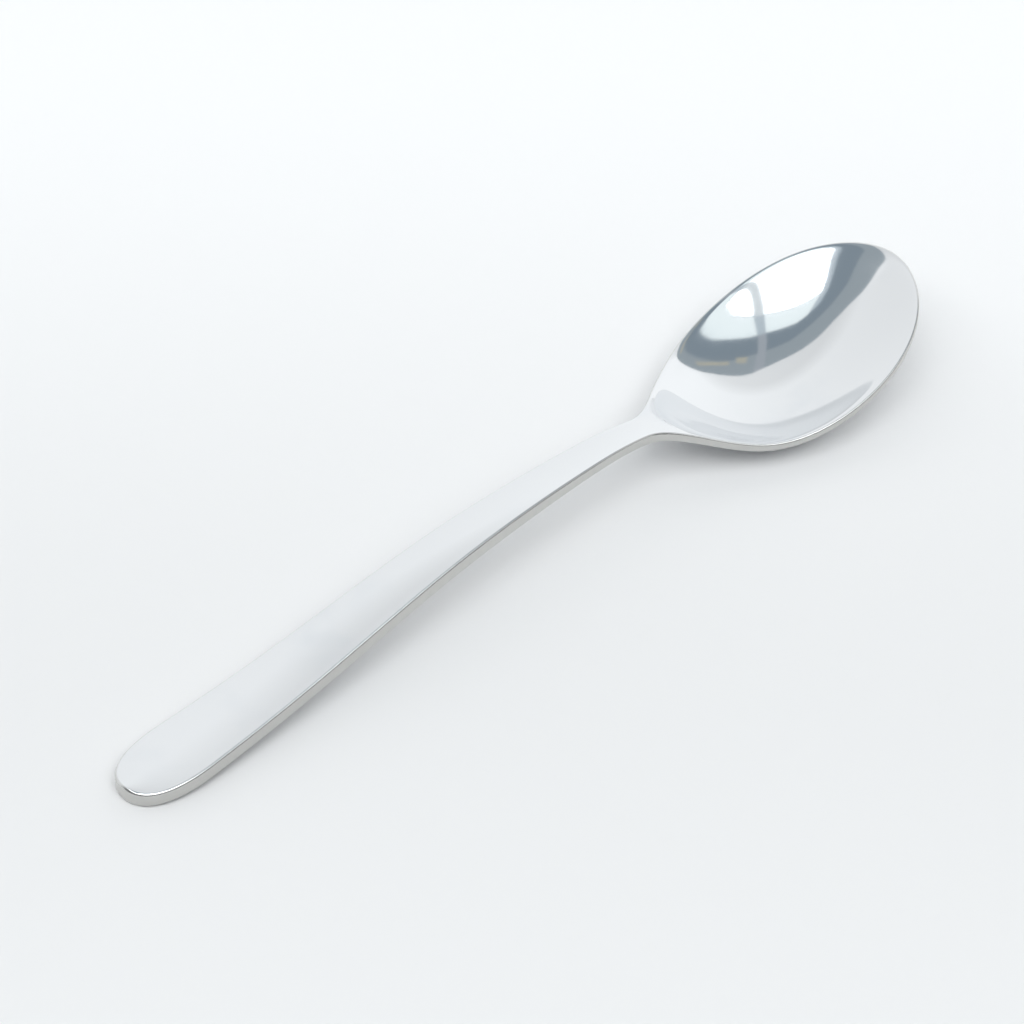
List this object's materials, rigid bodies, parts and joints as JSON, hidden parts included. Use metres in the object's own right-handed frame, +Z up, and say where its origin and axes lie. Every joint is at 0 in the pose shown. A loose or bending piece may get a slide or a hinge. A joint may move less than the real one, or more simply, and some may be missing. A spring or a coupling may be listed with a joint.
{
  "type": "teaspoon",
  "caption": "Teaspoon in polished stainless steel with an oval bowl, a narrow neck and an arched, tapering handle with a rounded end, for stirring and eating.",
  "frame": {"origin": "on the table under the middle of the spoon", "axes": "+X from the end of the handle to the end of the bowl, +Z up, out of the open bowl"},
  "size_m": [0.14, 0.0294, 0.0134],
  "materials": {
    "polished_steel": "mirror polished stainless steel"
  },
  "bodies": {
    "root": {"bowl": "polished_steel", "neck": "polished_steel", "handle": "polished_steel"}
  },
  "joints": []
}
